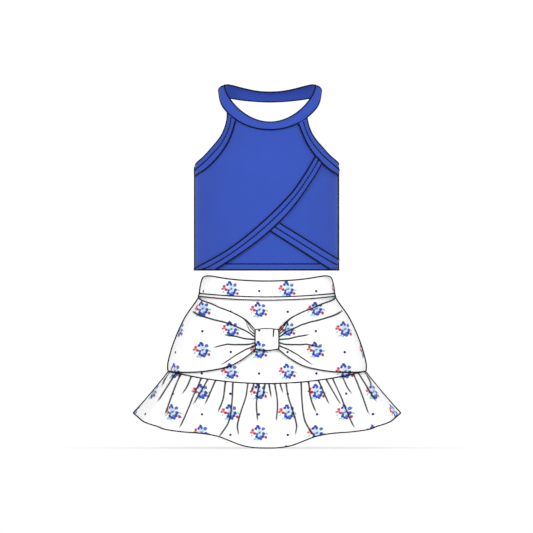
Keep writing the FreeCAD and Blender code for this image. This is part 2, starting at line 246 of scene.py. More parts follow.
def collar_low(side, turn):
    across = np.abs(sine(turn))
    if side == FRONT:
        rise = 1 - cosine(turn) + 0.055 * across ** 2 * np.abs(sine(2 * turn))
    else:
        rise = 0.5 * across ** 1.8 + 0.5 * across ** 12
    return COLLAR_LOW[side] + (COLLAR_LOW_SIDE - COLLAR_LOW[side]) * rise


def collar_high(side, turn):
    if side == FRONT:
        rise = 0.6 * (1 - cosine(turn)) + 0.4 * sine(turn) ** 2
    else:
        rise = strap_rise(np.abs(sine(turn)))
    return COLLAR_HIGH[side] + (COLLAR_HIGH_SIDE - COLLAR_HIGH[side]) * rise


def collar(side):
    """The collar's own surface, as a function of turn and of the way up it, 0 to 1."""
    def place(turn, up):
        low = collar_low(side, turn)
        roll = np.maximum(up, 0) ** 4
        width = COLLAR_HALF_WIDTH + (COLLAR_TOP_HALF_WIDTH - COLLAR_HALF_WIDTH) * roll
        points = oval(width, COLLAR_DEPTH - 4 * roll, side, turn,
                      low + (collar_high(side, turn) - low) * up)
        points[..., 0] += COLLAR_SHIFT
        return points
    return place


def cloth_run(turn, width, depth):
    """Length of cloth round an oval from its front or back centre to a turn.

    Round the front the cloth is eased over the body, so that its print keeps its spacing as
    seen from the front; towards the side seams it lies at its full length.
    """
    steps = 30
    total = 0.0
    for k in range(steps):
        middle = turn * (k + 0.5) / steps
        straight = width * cosine(middle)
        share = smooth((np.abs(middle) - EASED_TO) / EASED_OVER)
        total = total + straight + (np.hypot(straight, depth * sine(middle)) - straight) * share
    return total / steps * np.radians(turn)


# ---- lines and grids

def spot_on(width, x, z):
    """Turn and height on a form of a place as seen from the front."""
    return np.degrees(np.arcsin(np.clip((x - lean(z)) / width(z), -1, 1))), z


def line_on(width, *points):
    """A smooth line through (x, z) points, as seen from the front, in spots on a form."""
    points = np.array(points, float)
    place = run_along(points) / run_along(points)[-1]
    right, height = through(*zip(place, points[:, 0])), through(*zip(place, points[:, 1]))
    return lambda t: spot_on(width, right(t), height(t))


def mixed(a, b, t):
    return tuple(p + (q - p) * t for p, q in zip(a, b))


def between(low, high):
    return lambda across, up: mixed(low(across), high(across), up)


def four_sided(low, high, left, right):
    """Spots inside four lines that meet at their ends."""
    def at(across, up):
        rows = mixed(low(across), high(across), up)
        columns = mixed(left(up), right(up), across)
        corners = mixed(mixed(low(0.0), low(1.0), across), mixed(high(0.0), high(1.0), across), up)
        return tuple(r + c - k for r, c, k in zip(rows, columns, corners))
    return at


def level(height):
    """A level line from side to side."""
    return lambda t: (-90 + 180 * t, height + 0.0 * t)


def round_at(height_of, above=0.0):
    """A line from side to side, at a height that changes with the turn."""
    def at(t):
        turn = -90 + 180 * t
        return turn, height_of(turn) + above
    return at


def upright(hand, low, high):
    """A line up beside a side seam."""
    return lambda t: (hand * SIDE + 0 * t, low + (high - low) * t)


def grid(rows, columns, rim=0.004):
    """Across and up values from 0 to 1, with a narrow strip along each border."""
    def steps(count):
        return np.concatenate([[0], np.linspace(rim, 1 - rim, count - 2), [1]])
    return np.meshgrid(steps(columns), steps(rows))


def facing(points):
    """Unit normals of a grid of points, away from the wearer."""
    normal = unit(np.cross(np.gradient(points, axis=1), np.gradient(points, axis=0)))
    return normal * np.sign((normal[..., :2] * points[..., :2]).sum())


# ---- meshes

def placed(name, data, place=(0, 0, 0)):
    item = bpy.data.objects.new(name, data)
    bpy.context.scene.collection.objects.link(item)
    item.location = place
    return item


def add_mesh(name, points, faces, slot, uv, crease_shade=None, nodes=()):
    """A smooth piece from points in mm, which rides on its body and stands in for CAD nodes."""
    mesh = bpy.data.meshes.new(name)
    mesh.from_pydata((points * MM).tolist(), [], faces)
    mesh.polygons.foreach_set("use_smooth", np.ones(len(mesh.polygons), bool))
    corner = np.empty(len(mesh.loops), int)
    mesh.loops.foreach_get("vertex_index", corner)
    mesh.uv_layers.new(name="Fabric").data.foreach_set("uv", (uv[corner] * MM).ravel())
    # painted shade: a per-point attribute that darkens the fabric's colour in the bottoms of its
    # folds
    if crease_shade is not None:
        depth = mesh.attributes.new("crease_shade", "FLOAT", "POINT")
        depth.data.foreach_set("value", np.asarray(crease_shade, np.float32))
    mesh.materials.append(MATERIALS[slot])
    mesh.validate()
    piece = placed(name, mesh)
    if name.startswith("top_neck_strap"):
        # The strap's fabric turns with the neck strap just behind the sides of the collar
        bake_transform(piece)
    else:
        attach(piece, name.split("_")[0])
    if nodes:
        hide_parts(*nodes)
    return piece


def quads(index):
    """Faces over a grid of vertex numbers."""
    return np.stack([index[:-1, :-1], index[:-1, 1:], index[1:, 1:], index[1:, :-1]],
                    -1).reshape(-1, 4)


def outward(form, turn, other):
    """Unit normals of a form, away from the wearer."""
    small = 0.02
    along = form(turn + small, other) - form(turn - small, other)
    up = form(turn, other + small) - form(turn, other - small)
    normal = unit(np.cross(along, up))
    away = (normal * form(turn, other) * (1, 1, 0)).sum(axis=-1, keepdims=True)
    return normal * np.where(away < 0, -1, 1)


def pushed(base, push):
    """Points moved level out from the body."""
    return base + unit(facing(base) * (1, 1, 0)) * push[..., None]


def cloth(name, slot, form, spots, offset, thickness=CLOTH, uv=None, crease_shade=None, push=None,
          node=None, **sheet):
    """A closed sheet of fabric: two faces and a rounded edge, standing off a form.

    The name is its CAD node's with _cloth or _tape added, unless the node is given.
    """
    base = form(*spots)
    if push is None:
        normal = outward(form, *spots)
    else:
        base = pushed(base, push)
        normal = facing(base)
    rows, columns = base.shape[:2]
    offset = np.broadcast_to(offset, (rows, columns))[..., None]
    thickness = np.broadcast_to(thickness, (rows, columns))[..., None]
    outer = base + normal * offset
    inner = outer - facing(outer) * thickness
    count = rows * columns
    number = np.arange(count).reshape(rows, columns)
    border, step_in = (np.concatenate([number[k, :-1], number[:-1, -1 - k],
                                       number[-1 - k, :0:-1], number[:0:-1, k]]) for k in (0, 1))
    outside, inside = outer.reshape(-1, 3), inner.reshape(-1, 3)
    away = unit(outside[border] - outside[step_in]) * thickness.reshape(-1, 1)[border]
    rim = (outside[border] + inside[border]) / 2 + away * RIM_ROUND
    ring = 2 * count + np.arange(len(border))
    after, ring_after = np.roll(border, -1), np.roll(ring, -1)
    faces = np.concatenate([
        quads(number), quads(number)[:, ::-1] + count,
        np.stack([after, border, ring, ring_after], -1),
        np.stack([ring_after, ring, border + count, after + count], -1)])
    corner = np.cross(outer[0, 1] - outer[0, 0], outer[1, 0] - outer[0, 0])
    if np.dot(corner, normal[0, 0]) < 0:
        faces = faces[:, ::-1]

    def on_all(values):
        flat = values.reshape(count, *values.shape[2:])
        return np.concatenate([flat, flat, flat[border]])

    if uv is None:
        uv = print_uv(spots[0] + 0 * spots[1], spots[1] + 0 * spots[0], offset[..., 0])
    # no painted shade in fold bottoms unless it is given
    if crease_shade is None:
        crease_shade = np.zeros((rows, columns))
    piece = add_mesh(name, np.concatenate([outside, inside, rim]), faces.tolist(), slot,
                     on_all(uv), on_all(crease_shade), [node or name.rsplit("_", 1)[0]])
    return piece


def print_uv(turn, height, offset):
    """Distance round the body from its centre, and height: how the cloth wraps it."""
    on_top = height > GAP_HEIGHT
    width = np.where(on_top, torso_width(height), hip_width(height))
    depth = np.where(on_top, torso_depth[FRONT](height), hip_depth(height))
    return np.stack([cloth_run(turn, width + offset, depth + offset), height], -1)


def tape_uv(base):
    """Distances along and across a narrow tape."""
    along = np.linalg.norm(np.diff(base, axis=1), axis=-1).mean(axis=0)
    across = np.linalg.norm(np.diff(base, axis=0), axis=-1).mean(axis=1)
    return np.stack(np.meshgrid(summed(along), summed(across)), -1)


def tape(name, form, spots, offset, length, width, below, crown=0.35):
    """A folded tape of the top's binding, a little fuller between its edges."""
    _, up = grid(*spots[0].shape)
    fullness = crown * (1 - (2 * up - 1) ** 4)
    cloth("top_%s_tape" % name, "top_binding", form, spots, offset + fullness, TAPE,
          tape_uv(form(*spots)), flat=(length, width), held="stretched",
          rests_on=["top_" + below])


def tube(centres, normals, radius=CORD, sides=8):
    """Points and faces of a tube along a line, closed at its ends, and its UVs."""
    ahead = unit(np.gradient(centres, axis=0))
    sideways = unit(np.cross(ahead, normals))
    upward = np.cross(sideways, ahead)
    angle = (np.arange(sides) * 2 * np.pi / sides)[None, :, None]
    radius = np.broadcast_to(radius, len(centres))[:, None, None]
    rings = centres[:, None] + radius * (np.cos(angle) * sideways[:, None]
                                         + np.sin(angle) * upward[:, None])
    number = np.arange(len(centres) * sides).reshape(-1, sides)
    points = np.concatenate([rings.reshape(-1, 3), centres[:1], centres[-1:]])
    start, end = len(points) - 2, len(points) - 1
    faces = quads(np.concatenate([number, number[:, :1]], axis=1)).tolist()
    faces += [[start, number[0, (k + 1) % sides], number[0, k]] for k in range(sides)]
    faces += [[end, number[-1, k], number[-1, (k + 1) % sides]] for k in range(sides)]
    strand = np.tile(np.arange(sides) * 0.5, len(centres))
    uv = np.stack([np.repeat(run_along(centres), sides), strand], -1)
    return points, faces, np.concatenate([uv, uv[:1], uv[-1:]])


def threads(name, slot, tubes, *nodes):
    """One piece made of many lengths of thread."""
    faces, first = [], 0
    for points, tube_faces, _ in tubes:
        faces += [[first + k for k in face] for face in tube_faces]
        first += len(points)
    return add_mesh(name, np.concatenate([t[0] for t in tubes]), faces, slot,
                    np.concatenate([t[2] for t in tubes]), nodes=nodes)


def route(form, path, offset, count=160, start=0.0, end=1.0):
    """Points and normals along a path that stands off a form."""
    t = np.linspace(start, end, count)
    turn, other = path(t)
    turn, other = turn + 0.0 * t, other + 0.0 * t
    normal = outward(form, turn, other)
    lift = offset(t) if callable(offset) else offset
    return form(turn, other) + normal * np.reshape(lift, (-1, 1)), normal


def cord(form, path, offset, **span):
    return tube(*route(form, path, offset, **span))


def dashes(form, path, offset, start=0.0, end=1.0, pitch=STITCH_PITCH, length=STITCH_LENGTH):
    """Stitches along a path: short threads that dip into the fabric at both ends."""
    points, normals = route(form, path, offset, 400, start, end)
    run = run_along(points)

    def at(values, distance):
        return np.stack([np.interp(distance, run, values[:, k]) for k in range(3)], -1)

    made = []
    count = max(1, round(run[-1] / pitch))
    for k in range(count):
        first = (k + 0.5) * run[-1] / count - length / 2
        distance = np.linspace(first, first + length, len(STITCH_DIP))
        away = at(normals, distance)
        dip = STITCH * np.array(STITCH_DIP)[:, None]
        made.append(tube(at(points, distance) + away * dip, away, STITCH * np.array(STITCH_TAPER),
                         6))
    return made


# ---- materials

def linear(code):
    """A linear colour from a six-figure sRGB code."""
    parts = [int(code[i:i + 2], 16) / 255 for i in (0, 2, 4)]
    return [p / 12.92 if p < 0.04045 else ((p + 0.055) / 1.055) ** 2.4 for p in parts] + [1.0]


class Board:
    """A node tree with short calls for the nodes that the fabrics use."""

    def __init__(self, tree):
        self.tree = tree

    def add(self, kind, inputs=(), **settings):
        node = self.tree.nodes.new(kind)
        for key, value in settings.items():
            setattr(node, key, value)
        return self.fill(node, inputs)

    def fill(self, node, inputs):
        for key, value in dict(inputs).items():
            self.put(node.inputs[key], value)
        return node

    def put(self, socket, value):
        if isinstance(value, bpy.types.NodeSocket):
            self.tree.links.new(value, socket)
        else:
            socket.default_value = value

    def math(self, operation, a, b=0.0, c=0.0):
        return self.add("ShaderNodeMath", {0: a, 1: b, 2: c}, operation=operation).outputs[0]

    def times(self, a, b):
        return self.math("MULTIPLY", a, b)

    def scaled(self, value, factor, added):
        return self.math("MULTIPLY_ADD", value, factor, added)

    def wave(self, value, period):
        return self.math("SINE", self.times(value, 2 * math.pi / period))

    def vector(self, operation, a, b=(0, 0, 0)):
        node = self.add("ShaderNodeVectorMath", {0: a, 1: b}, operation=operation)
        return node.outputs["Value" if operation == "LENGTH" else "Vector"]

    def stretched(self, vector, factors):
        return self.vector("MULTIPLY", vector, factors)

    def mix(self, share, a, b):
        return self.add("ShaderNodeMix", data_type="RGBA",
                        inputs={0: share, 6: a, 7: b}).outputs[2]

    def toned(self, colour, tone):
        """A colour made lighter or darker."""
        return self.add("ShaderNodeVectorMath", {0: colour, "Scale": tone},
                        operation="SCALE").outputs[0]

    def noise(self, vector, scale, detail=2.0):
        return self.add("ShaderNodeTexNoise",
                        {"Vector": vector, "Scale": scale, "Detail": detail}).outputs

    def split(self, vector):
        return self.add("ShaderNodeSeparateXYZ", {0: vector}).outputs

    def ramp(self, value, low, high):
        return self.add("ShaderNodeMapRange", {0: value, 1: low, 2: high, 3: 0.0, 4: 1.0},
                        interpolation_type="SMOOTHSTEP").outputs[0]

    def shade(self, inputs):
        return self.fill(self.tree.nodes["Principled BSDF"], inputs).outputs[0]

    def emboss(self, strength, depth, height):
        bump = self.add("ShaderNodeBump",
                        {"Strength": strength, "Distance": depth * MM, "Height": height})
        self.shade({"Normal": bump.outputs[0]})


def new_material(name):
    material = bpy.data.materials.new(name)
    material.use_nodes = True
    return material, Board(material.node_tree)


def fabric_uv(board):
    """The fabric's own coordinates, in mm."""
    uv = board.add("ShaderNodeUVMap", uv_map="Fabric").outputs[0]
    return board.stretched(uv, (1 / MM, 1 / MM, 0))


def finish_cloth(board, colour, height, where, relief, roughness, sheen, sheen_tint):
    """Colour, roughness, sheen and relief of a cloth."""
    broad = board.noise(where, 0.03, 3.0)[0]
    board.shade({
        "Base Color": colour, "Specular IOR Level": 0.25, "Sheen Weight": sheen,
        "Sheen Roughness": 0.45, "Sheen Tint": linear(sheen_tint),
        "Roughness": board.scaled(broad, 0.16, roughness - 0.08)})
    board.emboss(relief, 0.3, board.scaled(broad, 1.2, height))


def jersey_material(name, code, stretch=1.0):
    """A fine jersey knit: columns of small V stitches."""
    material, board = new_material(name)
    where = fabric_uv(board)
    if stretch != 1.0:
        where = board.stretched(where, (1.0, stretch, 1.0))
    fibre = board.noise(where, 1.4, 3.0)[0]
    cloud = board.noise(where, 0.02)[0]
    x, y, _ = board.split(where)
    column = board.math("PINGPONG", x, 0.55)
    course = board.wave(board.scaled(column, 0.9, y), 0.9)
    knit = board.scaled(course, 0.5, board.times(board.wave(x, 1.1), 0.5))
    tone = board.scaled(fibre, 0.1, board.scaled(cloud, 0.1, 0.9))
    tone = board.scaled(knit, 0.025, tone)
    finish_cloth(board, board.toned(linear(code)[:3], tone), knit, where, 0.35, 0.82,
                 0.25, "8FA2F0")
    return material


# One sprig's marks, as blob takes them
SPRIG = (
    (-1.5, -6.5, 9.5, 6, 0, "D8F4F4", 0.9, 0.55),
    (-0.5, 1.2, 7, 6.6, 0, "C4E2FC", 0.6, 0.9),
    (-8.2, -10.2, 3.8, 1.7, 28, "8CD2C6", 0.45, 0.95),
    (-4.6, -11.8, 2.8, 1.4, -25, "9ADCD4", 0.45, 0.95),
    (-13.4, -4.6, 2.6, 1.5, 55, "8CD2C6", 0.45, 0.9),
    (11.4, -1.6, 3.4, 1.6, -35, "90CDB4", 0.45, 0.95),
    (6.6, -1.4, 2.9, 3.2, 10, "2C49BE"),
    (4.7, -6, 3, 2.9, 40, "2439B2"),
    (1.9, -9.8, 2.9, 2.6, 0, "3350C4"),
    (-2, -8.9, 2.7, 2.5, 0, "2A45B8"),
    (-5.4, -6.4, 2.8, 2.7, 20, "2439B2"),
    (-4.9, -2.4, 2.2, 2.5, 0, "3857CC", 0.35, 1),
    (1.2, -6.4, 2.7, 2.3, 0, "4465D2", 0.5, 0.9),
    (-3.2, 10.8, 3.3, 2.7, -10, "2742B4"),
    (-0.8, 7.9, 2.5, 2.6, 0, "2A48BC"),
    (-6.5, 7.2, 2.8, 2.5, 30, "2138A6"),
    (5.9, 6.6, 3.3, 3.1, 0, "3F5AC4"),
    (5.7, 6.4, 1.7, 1.5, 0, "7288DA", 0.6, 0.9),
    (-12, 4.5, 3.2, 3, 0, "EC8FA0", 0.45, 1),
    (-12, 4.6, 2.2, 2.1, 0, "B23058", 0.6, 1),
    (-14.6, 0.5, 2.5, 2.2, 0, "D4606C", 0.4, 1),
    (-9, -0.9, 3, 2.6, 0, "C02F48", 0.35, 1),
    (-11.6, 1.5, 1.9, 1.6, 0, "F26A78", 0.5, 1),
    (9.8, -7.4, 3.1, 3.3, 20, "E6A0AC", 0.45, 0.9),
    (9.8, -7.4, 2.1, 2.5, 20, "9E2C42", 0.45, 1),
    (-0.6, 0.2, 2.9, 1.5, 25, "3F68B8", 0.5, 1),
)
SPRIG_PITCH = 94.5
ROW_PITCH = 33.7
ROW_START = 24.0
SPRIG_START = -13.0
DOT = (47.25, -2.5, 2.3, 2.3, 0, "220A80", 0.25, 1.0)


def blob(board, where, under, x, y, half_x, half_y, tilt, code, softness=0.3, cover=1,
         paint=0.5):
    """One brush mark of the print, laid over what is under it, thin here and thick there.

    Its place and half-sizes are in mm, its tilt in degrees.
    """
    moved = board.vector("SUBTRACT", where, (x, y, 0))
    if tilt:
        moved = board.add("ShaderNodeVectorRotate", {"Vector": moved, "Angle": math.radians(-tilt)},
                          rotation_type="Z_AXIS").outputs[0]
    scaled = board.stretched(moved, (1 / half_x, 1 / half_y, 0))
    inside = board.ramp(board.vector("LENGTH", scaled), 1 + softness / 2, 1 - softness)
    if cover < 1:
        inside = board.times(inside, cover)
    full = linear(code)[:3]
    thin = [min(1.0, part * 1.15 + 0.01) for part in full] + [1.0]
    thick = [part * 0.5 for part in full] + [1.0]
    return board.mix(inside, under, board.mix(paint, thick, thin))


def floral_print(board, where):
    """Rows of sprigs, every second row shifted by half, with a dot between two sprigs."""
    x, y, _ = board.split(where)
    lifted = board.math("ADD", y, ROW_PITCH / 2 - ROW_START)
    odd = board.math("FLOORED_MODULO", board.math("FLOOR", board.math("DIVIDE", lifted, ROW_PITCH)),
                     2.0)
    shifted = board.math("ADD", board.scaled(odd, -SPRIG_PITCH / 2, x),
                         SPRIG_PITCH / 2 - SPRIG_START)
    local_x, local_y = (
        board.math("SUBTRACT", board.math("FLOORED_MODULO", value, pitch), pitch / 2)
        for value, pitch in ((shifted, SPRIG_PITCH), (lifted, ROW_PITCH)))
    local = board.add("ShaderNodeCombineXYZ", {0: local_x, 1: local_y}).outputs[0]
    brush = board.noise(where, 0.45)["Color"]
    wobble = board.stretched(board.vector("SUBTRACT", brush, (0.9, 0.8, 0.5)), (3, 3, 0))
    paint = board.split(brush)[2]
    local_brush = board.vector("ADD", local, wobble)
    colour = linear("FAFAFB")
    for mark in SPRIG:
        colour = blob(board, local_brush, colour, *mark, paint=paint)
    folded = board.add("ShaderNodeCombineXYZ", {0: board.math("ABSOLUTE", local_x), 1: local_y})
    return blob(board, folded.outputs[0], colour, *DOT)


def floral_material(name):
    """Plain-woven cotton with the print, and painted shade: dark lines where its creases are deep.
    """
    material, board = new_material(name)
    where = fabric_uv(board)
    x, y, _ = board.split(where)
    weave = board.times(board.wave(x, 0.55), board.wave(y, 0.55))
    slub = board.noise(board.stretched(where, (0.25, 2.2, 1)), 1.0)[0]
    tone = board.scaled(weave, 0.012, board.scaled(slub, 0.05, 0.965))
    # painted shade: the mesh's per-point attribute mixes the print towards near-black 1C1C20 in the
    # bottoms of folds
    depth = board.add("ShaderNodeAttribute", attribute_name="crease_shade").outputs["Fac"]
    colour = board.mix(board.math("MINIMUM", depth, 1.0),
                       board.toned(floral_print(board, where), tone), linear("1C1C20"))
    finish_cloth(board, colour, weave, where, 0.25, 0.86, 0.12, "FFFFFF")
    return material


def thread_material(name, code, sheen_code):
    """Twisted thread, with strands that spiral along it."""
    material, board = new_material(name)
    x, y, _ = board.split(fabric_uv(board))
    twist = board.scaled(y, 0.25 * 2 * math.pi / 0.5, board.times(x, 6.0))
    strand = board.math("SINE", twist)
    tone = board.scaled(strand, 0.25, 0.9)
    board.shade({
        "Base Color": board.toned(linear(code)[:3], tone), "Specular IOR Level": 0.15,
        "Roughness": board.scaled(strand, -0.08, 0.8),
        "Sheen Weight": 0.05, "Sheen Tint": linear(sheen_code)})
    board.emboss(0.4, 0.2, strand)
    return material


def elastic_material():
    """Braided elastic: ribs along its length."""
    material, board = new_material("braided elastic")
    place = board.add("ShaderNodeTexCoord").outputs["Object"]
    _, _, z = board.split(board.stretched(place, (1 / MM, 1 / MM, 1 / MM)))
    rib = board.wave(z, 2.2)
    fleck = board.noise(board.stretched(place, (900, 900, 900)), 1.0)[0]
    tone = board.scaled(rib, 0.05, board.scaled(fleck, 0.08, 0.86))
    board.shade({"Base Color": board.toned(linear("EEEDE8")[:3], tone), "Roughness": 0.8})
    board.emboss(0.5, 0.4, rib)
    return material


MATERIALS = {
    "top_jersey": jersey_material("blue jersey", "2D49A7"),
    "top_binding": jersey_material("blue jersey binding", "2E4AAA", 0.8),
    "top_thread": thread_material("navy thread", "03050F", "16204A"),
    "floral_cotton": floral_material("floral cotton"),
    "skirt_thread": thread_material("charcoal thread", "141416", "404040"),
}
ELASTIC = elastic_material()


# ---- the top

armhole_edge = through((446, 118.5), (464, 117.8), (478, 103.5), (490, 92.5), (509, 77),
                       (524, 69.5), (540, 65.2), (556, 64.4))


def wrapped_width(z):
    return torso_width(z) + WRAPS


def side_turn(hand, height):
    """Turn at which the front panel ends: the side seam, then the armhole."""
    return spot_on(wrapped_width, hand * armhole_edge(height), height)[0]


def collar_foot(x, gap=0.0):
    """Height of a line beside the collar's lower edge, a gap below it."""
    turn = np.degrees(np.arcsin((x - COLLAR_SHIFT) / COLLAR_HALF_WIDTH))
    return collar_low(FRONT, turn) - gap


def corner_height(hand):
    """Height at which an armhole's edge goes behind the collar."""
    height = COLLAR_LOW[FRONT]
    for _ in range(30):
        height = collar_foot(hand * armhole_edge(height), -TUCK)
    return float(height)


CORNER = {LEFT: corner_height(LEFT), RIGHT: corner_height(RIGHT)}


def panel_side(hand, low=TOP_HEM):
    """The side seam and armhole of the front, from a height up to the collar."""
    def at(t):
        away = np.abs(t / 0.5 - 1)
        spaced = 0.6 * away + 0.4 * away ** 2
        height = UNDERARM + (np.where(np.asarray(t) > 0.5, CORNER[hand], low) - UNDERARM) * spaced
        return side_turn(hand, height), height
    return at


def under_collar(across):
    """The front panel's top edge, just behind the collar."""
    left = -armhole_edge(CORNER[LEFT])
    x = left + (armhole_edge(CORNER[RIGHT]) - left) * across
    return spot_on(wrapped_width, x, collar_foot(x, -TUCK))


wrap_low = line_on(torso_width, (-82.5, 294), (-44.6, 319.3), (-5, 349.5), (38, 392.7),
                   (71, 439.7), (95, 481))
wrap_high = line_on(torso_width, (-115.1, 295.4), (-61, 327.5), (-11.6, 368), (38, 418.3),
                    (62, 453), (85, 492))
under_low = line_on(torso_width, (5, 358), (102.3, 294))
under_high = line_on(torso_width, (20.6, 370.4), (115.1, 310))


def armhole_outer(hand):
    def at(t):
        height = UNDERARM + (CORNER[hand] - UNDERARM) * t ** 1.6
        return side_turn(hand, height), height
    return at


def armhole_inner(hand, share=1.0):
    end = 50.0
    inner = through((0, 118.5), (0.2, 97), (0.4, 79), (0.6, 67), (0.8, 58.5), (1, end))
    rise = through((0, 448), (0.2, 462), (0.4, 480), (0.6, 497), (0.8, 515),
                   (1, float(collar_foot(hand * end, -TUCK))))

    def at(t):
        inside = spot_on(wrapped_width, hand * inner(t ** 1.6), rise(t ** 1.6))
        return mixed(armhole_outer(hand)(t), inside, share)
    return at


def binding_lift(hand):
    """How far an armhole's binding stands off: over both wraps on the right."""
    start, full = {LEFT: (2, 3), RIGHT: (1, 4)}[hand]
    return lambda along: LAYER * (start + (full - start) * smooth(along / CLIMB))


def neckline_height(turn):
    return BACK_NECKLINE + (UNDERARM - BACK_NECKLINE) * sine(turn) ** 2


back_neckline = round_at(neckline_height)


def fabric_ease(points):
    """Slight slack of a jersey panel, in mm."""
    x, z = points[..., 0], points[..., 2]
    pull = np.sin(x / 31 + z / 57) * np.sin(z / 43 - x / 90)
    return 0.35 * pull


def panel(name, form, spots, offset, below, flat, **more):
    cloth("top_%s_cloth" % name, "top_jersey", form, spots, offset, flat=flat, held="stretched",
          rests_on=["top_%s" % each for each in below], **more)


def top_panels():
    form = torso(FRONT)
    across, up = grid(60, 60)
    corner = panel_side(RIGHT, TOP_HEM + 1)
    left = panel_side(LEFT, TOP_HEM + 1)

    lining = four_sided(level(TOP_HEM), under_collar, panel_side(LEFT), panel_side(RIGHT))
    panel("front_lining", form, lining(across, up), CLOTH, ["collar_front_tape"],
          (0.30, 0.25), area=0.062)

    foot = 0.8  # share of the under wrap's foot that the slanted edge takes
    tall = 0.9  # share of the armhole that the under wrap reaches up
    slanted = line_on(torso_width, (-4, 364.6), (49, 330), (101, 296))
    hidden_top = (10.0, 500.0)

    def under_foot(t):
        t = np.asarray(t, float)
        first = slanted(np.minimum(t / foot, 1))
        rest = mixed(slanted(1.0), corner(0.0), (t - foot) / (1 - foot))
        return tuple(np.where(t < foot, a, b) for a, b in zip(first, rest))

    spots = four_sided(under_foot, lambda t: mixed(hidden_top, corner(tall), t),
                       lambda t: mixed(under_foot(0.0), hidden_top, t),
                       lambda t: corner(tall * t))(across, up)
    panel("under_wrap", form, spots, over(1) - 0.2 + fabric_ease(form(*spots)) * WRAP_EASE,
          ["front_lining_cloth"], (0.16, 0.23), area=0.025, node="top_under_wrap_panel")

    def over_foot(t):
        return mixed(left(0.0), wrap_low(t), smooth(np.asarray(t, float) / 0.2))

    def over_right(t):
        low = float(over_foot(1.0)[1])
        height = low + (CORNER[RIGHT] - low) * t
        return side_turn(RIGHT, height), height

    spots = four_sided(over_foot, under_collar, left, over_right)(across, up)
    panel("over_wrap", form, spots, over(2) + fabric_ease(form(*spots)) * WRAP_EASE,
          ["under_wrap_cloth", "front_lining_cloth"], (0.28, 0.26), area=0.043,
          node="top_over_wrap_panel")

    turn, height = between(level(TOP_HEM), back_neckline)(*grid(50, 60))
    spots = (turn * UNDERLAP, height)
    panel("back", torso(BACK), spots, CLOTH + fabric_ease(torso(BACK)(*spots)) * BACK_EASE,
          ["front_lining_cloth"], (0.30, 0.18), node="top_back_panel")


def top_tapes():
    across, up = grid(9, 90, 0.01)
    front = torso(FRONT)
    tape("over_wrap_band", front, between(wrap_low, wrap_high)(across, up), over(3),
         0.26, 0.018, "over_wrap_cloth")
    tape("under_wrap_band", front, between(under_low, under_high)(across, up), over(2),
         0.12, 0.018, "over_wrap_cloth")
    for hand, name in HANDS.items():
        where = between(armhole_outer(hand), armhole_inner(hand))
        tape("armhole_binding_" + name, front, where(across, up),
             binding_lift(hand)(across) + CLOTH, 0.13, 0.017, "over_wrap_cloth")
    where = between(round_at(neckline_height, -BINDING), back_neckline)
    tape("back_neckline_binding", torso(BACK), where(across, up), over(1), 0.30, 0.015,
         "back_cloth")


def collar_stand(side, turn, up):
    """How far the collar's face stands off: its lower front edge lies over the panels."""
    if side == BACK:
        return COLLAR_STAND + 0 * turn * up
    return COLLAR_STAND + COLLAR_OVERLAP * (1 - smooth((np.abs(turn) - 60) / 25)) * (1 - up)


def collar_tapes():
    across, up = grid(21, 180, 0.006)
    spots = (-90 + 180 * across, up)
    for side, name, length, below in ((FRONT, "collar_front", 0.27, "over_wrap_cloth"),
                                      (BACK, "neck_strap", 0.26, "collar_front_tape")):
        tape(name, collar(side), spots, collar_stand(side, *spots), length, 0.022, below, 0.5)


def top_stitching():
    front, back = torso(FRONT), torso(BACK)
    hem_row = TOP_HEM + HEM_STITCH

    def over_row(t):
        return between(wrap_low, wrap_high)(t, 0.4 + 0.14 * np.minimum(1, t / 0.3))

    def sew(node, form, path, offset, *span, made="_thread"):
        threads(node + made, "top_thread", dashes(form, path, offset, *span),
                *([node] if made else []))

    on_tape = CLOTH + 0.8
    sew("top_hem_stitches", front,
        line_on(torso_width, (-69, hem_row), (6, hem_row), (86, hem_row)), CLOTH + 0.3)
    sew("top_over_wrap_stitches", front, over_row, 3 * LAYER + on_tape, 0.0, 0.955)
    sew("top_under_wrap_stitches", front, lambda t: between(under_low, under_high)(t, 0.5),
        2 * LAYER + on_tape)
    for hand, name in HANDS.items():
        lift = binding_lift(hand)
        sew("top_armhole_stitches_" + name, front, armhole_inner(hand, 0.52),
            lambda t: lift(t) + on_tape, 0.01, 0.965)
    sew("top_back_neckline_stitches", back, round_at(neckline_height, -BINDING / 2),
        LAYER + on_tape, made="")
    sew("top_back_hem_stitches", back, level(hem_row), CLOTH + 0.1, made="")


def stepped(*knots):
    """A lift along a line that changes quickly between level stretches."""
    def lift(t):
        total = knots[0][1] + 0.0 * t
        for (_, before), (place, after) in zip(knots, knots[1:]):
            total = total + (after - before) * past((t - place) / 0.004)
        return total
    return lift


